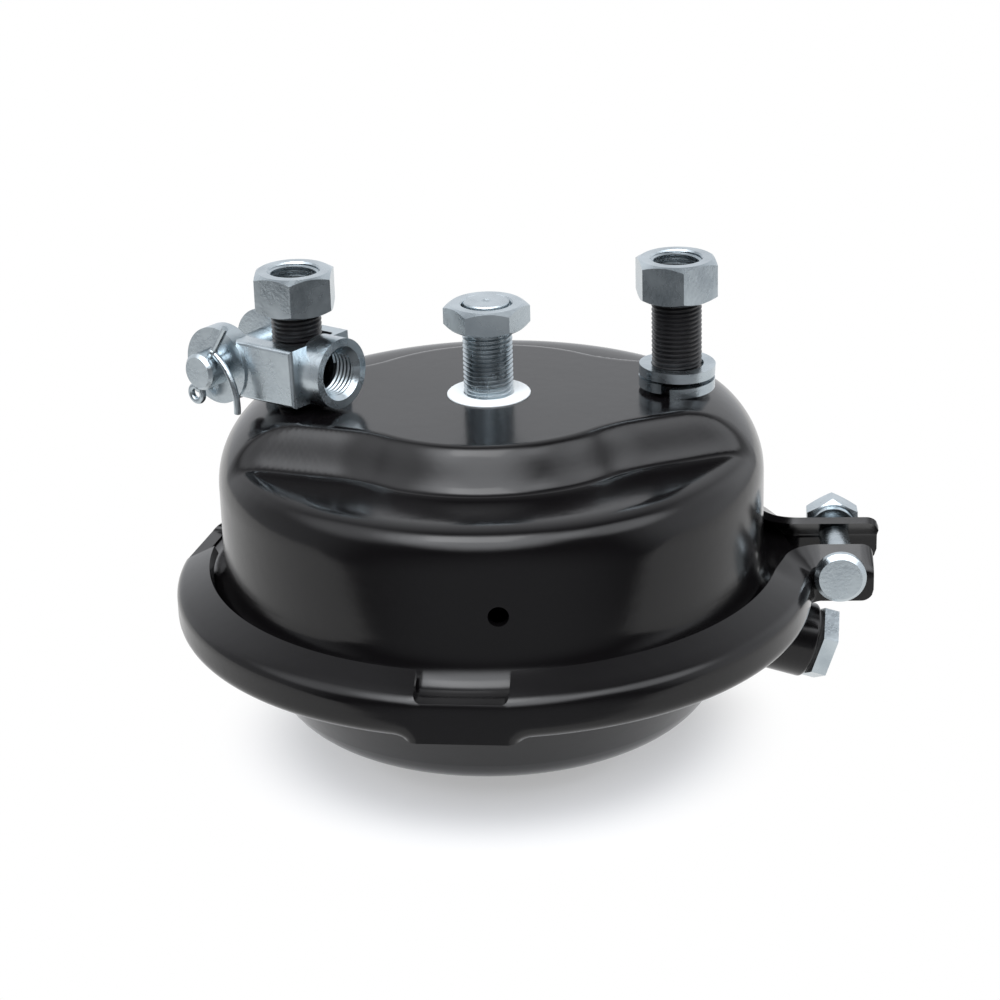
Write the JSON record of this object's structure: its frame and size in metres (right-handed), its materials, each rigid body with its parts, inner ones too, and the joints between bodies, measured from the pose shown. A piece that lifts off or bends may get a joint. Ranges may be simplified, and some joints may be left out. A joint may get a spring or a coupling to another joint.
{
  "type": "air brake chamber",
  "caption": "Diaphragm air brake chamber: pressed steel housings held by a clamp band, a push rod with return spring, mounting studs with nuts, a loose yoke with its pin, and tapped air ports.",
  "frame": {"origin": "centre of the flat mounting face, on the push rod's axis", "axes": "+Z out of the mounting face, the way the push rod travels; the mounting studs stand on the X axis, and +X points to the clamp bolt and the plugged port"},
  "size_m": [0.2329, 0.2123, 0.1634],
  "materials": {
    "black_ecoat": "glossy black electrocoat on pressed steel",
    "zinc_plate": "bright bluish zinc plating",
    "black_phosphate": "oiled black phosphate",
    "spring_steel": "oil-tempered spring wire",
    "white_nylon": "white nylon, satin",
    "black_rubber": "fabric-reinforced black rubber"
  },
  "bodies": {
    "chamber": {"nonpressure_housing": "black_ecoat", "stud_plate": "black_ecoat", "mounting_stud_left": "black_phosphate", "mounting_stud_right": "black_phosphate", "rod_bush": "white_nylon", "pressure_cover": "black_ecoat", "plugged_port_boss": "black_ecoat", "supply_port_boss": "black_ecoat", "port_plug": "zinc_plate", "plug_seal": "black_rubber", "diaphragm": "black_rubber", "return_spring": "spring_steel", "clamp_band": "black_ecoat", "clamp_bolt": "zinc_plate", "clamp_nut": "zinc_plate"},
    "rod": {"push_rod": "zinc_plate", "push_plate": "black_ecoat"},
    "lock_nut": {"rod_lock_nut": "zinc_plate"},
    "nut_left": {"stud_nut_left": "zinc_plate"},
    "nut_right": {"stud_nut_right": "zinc_plate"},
    "washers": {"spring_washer_lower": "zinc_plate", "spring_washer_upper": "zinc_plate"},
    "yoke": {"clevis": "zinc_plate"},
    "yoke_pin": {"clevis_pin": "zinc_plate", "cotter_pin": "zinc_plate"}
  },
  "joints": [
    {"name": "rod_stroke", "type": "slide", "parent": "chamber", "child": "rod", "axis": [0, 0, 1], "range_m": [0, 0.064], "stiffness_N_per_m": 2500, "springref_m": -0.04, "deforming": ["return_spring", "diaphragm"]},
    {"name": "lock_nut_turn", "type": "hinge", "parent": "rod", "child": "lock_nut", "pos_m": [0, 0, 0.0265], "axis": [0, 0, 1], "continuous": true},
    {"name": "nut_left_turn", "type": "hinge", "parent": "chamber", "child": "nut_left", "pos_m": [-0.06035, 0, 0.0369], "axis": [0, 0, 1], "continuous": true},
    {"name": "nut_right_turn", "type": "hinge", "parent": "chamber", "child": "nut_right", "pos_m": [0.06035, 0, 0.0369], "axis": [0, 0, 1], "continuous": true},
    {"name": "washers_lift", "type": "slide", "parent": "chamber", "child": "washers", "axis": [0, 0, 1], "range_m": [0, 0.021]},
    {"name": "yoke_swivel", "type": "hinge", "parent": "chamber", "child": "yoke", "pos_m": [-0.06035, 0, 0.0119], "axis": [0, 0, 1], "range_deg": [0, 42]},
    {"name": "yoke_pin_turn", "type": "hinge", "parent": "yoke", "child": "yoke_pin", "pos_m": [-0.07758, 0.01446, 0.01131], "axis": [-0.6428, -0.766, 0], "range_deg": [-20, 20]}
  ]
}
